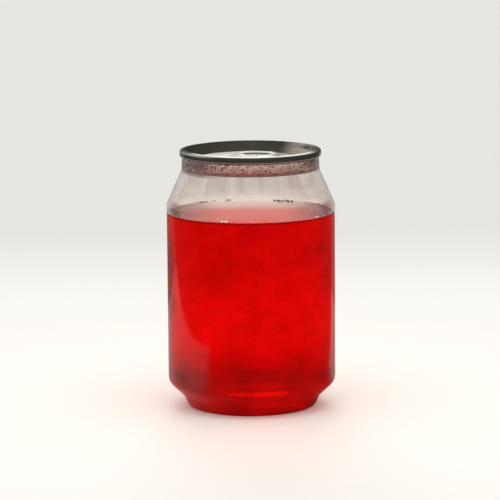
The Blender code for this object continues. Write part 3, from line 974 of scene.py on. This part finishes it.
def make_tab():
    """The pull tab: a curled rim round a thin web, pierced for finger, rivet and hinge. The
    finger hole is hemmed, and its inner edge is dark grey metal, a painted shade."""
    bm = bmesh.new()
    web_bottom = TAB_LIFT + TAB_WEB_RISE
    web_top = web_bottom + TAB_WEB
    half_curl = TAB_CURL / 2
    rim = [(tab_outline(TAB_RIM), web_bottom)]
    for step in range(CURL_STEPS + 1):
        angle = math.radians(-90 + 180 * step / CURL_STEPS)
        rim.append((tab_outline(half_curl * TAB_CURL_SPREAD * (1 - math.cos(angle))),
                    TAB_LIFT + half_curl * (1 + math.sin(angle))))
    rim += [(tab_outline(TAB_RIM * 0.62), TAB_LIFT + TAB_CURL),
            (tab_outline(TAB_RIM * 0.85), TAB_LIFT + TAB_CURL * 0.85),
            (tab_outline(TAB_RIM), web_top)]
    hem = [(finger_hole(), web_bottom), (finger_hole(), web_top + HEM_RISE * 0.5),
           (finger_hole(HEM_WIDTH * 0.4), web_top + HEM_RISE),
           (finger_hole(HEM_WIDTH), web_top)]
    pierced = [[(hole, web_bottom), (hole, web_top)] for hole in (rivet_hole(), hinge_slot())]
    edges_below = []
    edges_above = []
    for rings in [rim, hem] + pierced:
        loops = [add_loop(bm, outline, height) for outline, height in rings]
        for level, ((lower, _), (upper, _)) in enumerate(zip(loops, loops[1:])):
            # The inner wall of the finger hole takes the second material, a dark grey painted
            # shade
            join_loops(bm, lower, upper, int(rings is hem and level == 0))
        edges_below += loops[0][1]
        edges_above += loops[-1][1]
    bmesh.ops.triangle_fill(bm, edges=edges_below, use_beauty=True)
    bmesh.ops.triangle_fill(bm, edges=edges_above, use_beauty=True)
    bmesh.ops.recalc_face_normals(bm, faces=bm.faces)
    turn = Matrix.Translation((0, 0, DEBOSS_TOP)) @ Matrix.Rotation(TAB_TURN, 4, "Z")
    bmesh.ops.transform(bm, matrix=turn, verts=bm.verts)
    mesh = bpy.data.meshes.new("pull_tab_sheet")
    bm.to_mesh(mesh)
    bm.free()
    # The second material is dark grey, a painted shade in the finger hole
    tab = add_mesh("pull_tab_sheet", mesh, [rolled_aluminium("tab_aluminium", "f0ede6", 0.22, 0.3),
                                            rolled_aluminium("shaded_hole_edge", "6f665d", 0.4, 0.3)],
                   sharp=50)
    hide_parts("pull_tab")


# ---- drops and bubbles

def add_specks(name, specks, material):
    """Small round drops as one mesh, from (middle, outward direction, radius, flatness)."""
    ball = bmesh.new()
    bmesh.ops.create_icosphere(ball, subdivisions=2, radius=1.0)
    ball.verts.ensure_lookup_table()
    shape = np.array([vert.co[:] for vert in ball.verts])
    faces = np.array([[vert.index for vert in face.verts] for face in ball.faces])
    ball.free()
    vertices = []
    corners = []
    for index, (middle, outward, radius, flatness) in enumerate(specks):
        turn = np.array(Vector(outward).to_track_quat("Z", "Y").to_matrix())
        size = np.array((radius, radius, radius * flatness))
        vertices.append((shape * size) @ turn.T + np.array(middle))
        corners.append(faces + index * len(shape))
    mesh = bpy.data.meshes.new(name)
    mesh.from_pydata(np.concatenate(vertices).tolist(), [], np.concatenate(corners).tolist())
    add_mesh(name, mesh, [material], sharp=180)


def make_neck_drops():
    """Condensed drops inside the neck, closer together towards its root."""
    rng = random.Random(4)
    specks = []
    for _ in range(DROP_COUNT):
        turn = rng.uniform(0, math.tau)
        height = NECK_FROM + 0.6 * MM + (UNDER_SEAM - NECK_FROM) * 0.85 * rng.random() ** 1.5
        radius = DROP_SMALLEST + DROP_SPREAD * rng.random() ** 3
        share = (height - SHOULDER_TOP) / (BODY_HIGH.z - SHOULDER_TOP)
        wall = NECK_BASE_RADIUS + (NECK_RADIUS - NECK_BASE_RADIUS) * share - WALL
        outward = Vector((math.cos(turn), math.sin(turn), 0))
        specks.append((outward * wall + Vector((0, 0, height)), outward, radius, 0.5))
    add_specks("neck_drops", specks, clear_water())


def bubble_string(rng, turn, reach, count, largest, height):
    """A string of bubbles that runs round the can from one angle."""
    specks = []
    for _ in range(count):
        radius = largest * rng.uniform(0.4, 1.0)
        inner = min(reach, BODY_RADIUS - WALL - radius * 0.8) + rng.uniform(-0.4, 0.4) * MM
        inner = min(inner, BODY_RADIUS - WALL - radius * 0.6)
        specks.append(((inner * math.cos(turn), inner * math.sin(turn), height + radius * 0.4),
                       (0, 0, 1), radius, 0.85))
        turn += (radius * 1.6 + rng.uniform(0.0, 0.5) * MM) / inner
    return specks


def strings_of(rng, strings):
    """The named strings of bubbles."""
    specks = []
    for degrees, reach, count, largest in strings:
        specks += bubble_string(rng, math.radians(degrees), reach * MM, count, largest * MM,
                                LIQUID_LEVEL)
    return specks


def make_bubbles():
    """Bubbles in named strings, in others along the wall at both sides, and a few afloat.
    Some of the named ones are tinted brownish dark, a painted shade, so that they show as dark
    outlines."""
    rng = random.Random(11)
    wall = BODY_RADIUS - WALL
    specks = strings_of(rng, PALE_BUBBLES)
    for middle in (0.0, math.pi):
        for _ in range(WALL_STRINGS):
            specks += bubble_string(rng, middle + rng.uniform(-0.6, 0.5), wall,
                                    rng.randint(2, 7), WALL_BUBBLE, LIQUID_LEVEL - 0.1 * MM)
    for _ in range(AFLOAT_STRINGS):
        specks += bubble_string(rng, rng.uniform(0, math.tau), rng.uniform(23.0, 30.0) * MM,
                                rng.randint(2, 6), AFLOAT_BUBBLE, LIQUID_LEVEL - 0.3 * MM)
    add_specks("bubbles", specks, foam_skin())
    # Brownish dark tinted bubbles: painted shade for their outlines
    add_specks("dark_tinted_bubbles", strings_of(rng, DARK_BUBBLES), shaded_bubble())


# ---- studio

def patched_light(tree, direction, plain, patches):
    """A plain light with soft-edged round patches of other lights laid over it in turn."""
    lowest = add_node(tree, "ShaderNodeRGB")
    lowest.outputs[0].default_value = plain
    light = lowest.outputs[0]
    for axis, full_deg, gone_deg, colour in patches:
        facing = add_node(tree, "ShaderNodeVectorMath", {"operation": "DOT_PRODUCT"},
                          {1: tuple(Vector(axis).normalized())}, {0: direction})
        edge = (math.cos(math.radians(gone_deg)), math.cos(math.radians(full_deg)))
        light = add_node(tree, "ShaderNodeMix", {"data_type": "RGBA"}, {"B": colour},
                         {"A": light, "Factor": soft_span(tree, facing.outputs["Value"], edge)}
                         ).outputs["Result"]
    return light


def make_sky():
    """Soft light from all round, strongest from behind. Shiny things mirror a dark room with
    a dim glow at the left and a bright window behind."""
    world = bpy.data.worlds.new("studio_light")
    bpy.context.scene.world = world
    world.use_nodes = True
    tree = world.node_tree
    direction = add_node(tree, "ShaderNodeTexCoord").outputs["Generated"]
    colour = add_node(tree, "ShaderNodeMix", {"data_type": "RGBA"},
                      links={"Factor": mirror_ray(tree),
                             "A": patched_light(tree, direction, OPEN_LIGHT, LIGHT_PATCHES),
                             "B": patched_light(tree, direction, DARK_ROOM, ROOM_PATCHES)})
    tree.links.new(colour.outputs["Result"], tree.nodes["Background"].inputs["Color"])


def make_floor():
    """A wide paper floor."""
    bm = bmesh.new()
    bmesh.ops.create_circle(bm, cap_ends=True, segments=96, radius=FLOOR_RADIUS)
    mesh = bpy.data.meshes.new("floor")
    bm.to_mesh(mesh)
    bm.free()
    mesh.materials.append(floor_paper())
    floor = bpy.data.objects.new("floor", mesh)
    bpy.context.scene.collection.objects.link(floor)


def make_camera():
    """Long lens a little above the can, looking slightly down."""
    data = bpy.data.cameras.new("camera")
    data.sensor_width = 36.0
    data.lens = CAMERA_LENS
    data.clip_end = 50.0
    camera = bpy.data.objects.new("camera", data)
    bpy.context.scene.collection.objects.link(camera)
    place = Matrix.Translation(CAMERA_PLACE)
    pitch = Matrix.Rotation(math.radians(90 - CAMERA_DOWN_DEG), 4, "X")
    roll = Matrix.Rotation(math.radians(CAMERA_ROLL_DEG), 4, "Z")
    camera.matrix_world = place @ pitch @ roll
    bpy.context.scene.camera = camera


def set_up_view():
    """Straight colours, enough bounces for clear walls round a drink, and a clean image."""
    scene = bpy.context.scene
    scene.view_settings.view_transform = "Standard"
    scene.cycles.max_bounces = 24
    scene.cycles.transmission_bounces = 20
    scene.cycles.glossy_bounces = 8
    scene.cycles.diffuse_bounces = 4
    scene.cycles.use_denoising = True
    scene.cycles.blur_glossy = 0.0


make_camera()
make_sky()
make_floor()
set_up_view()
make_body()
make_drink()
make_end()
make_tab()
make_neck_drops()
make_bubbles()
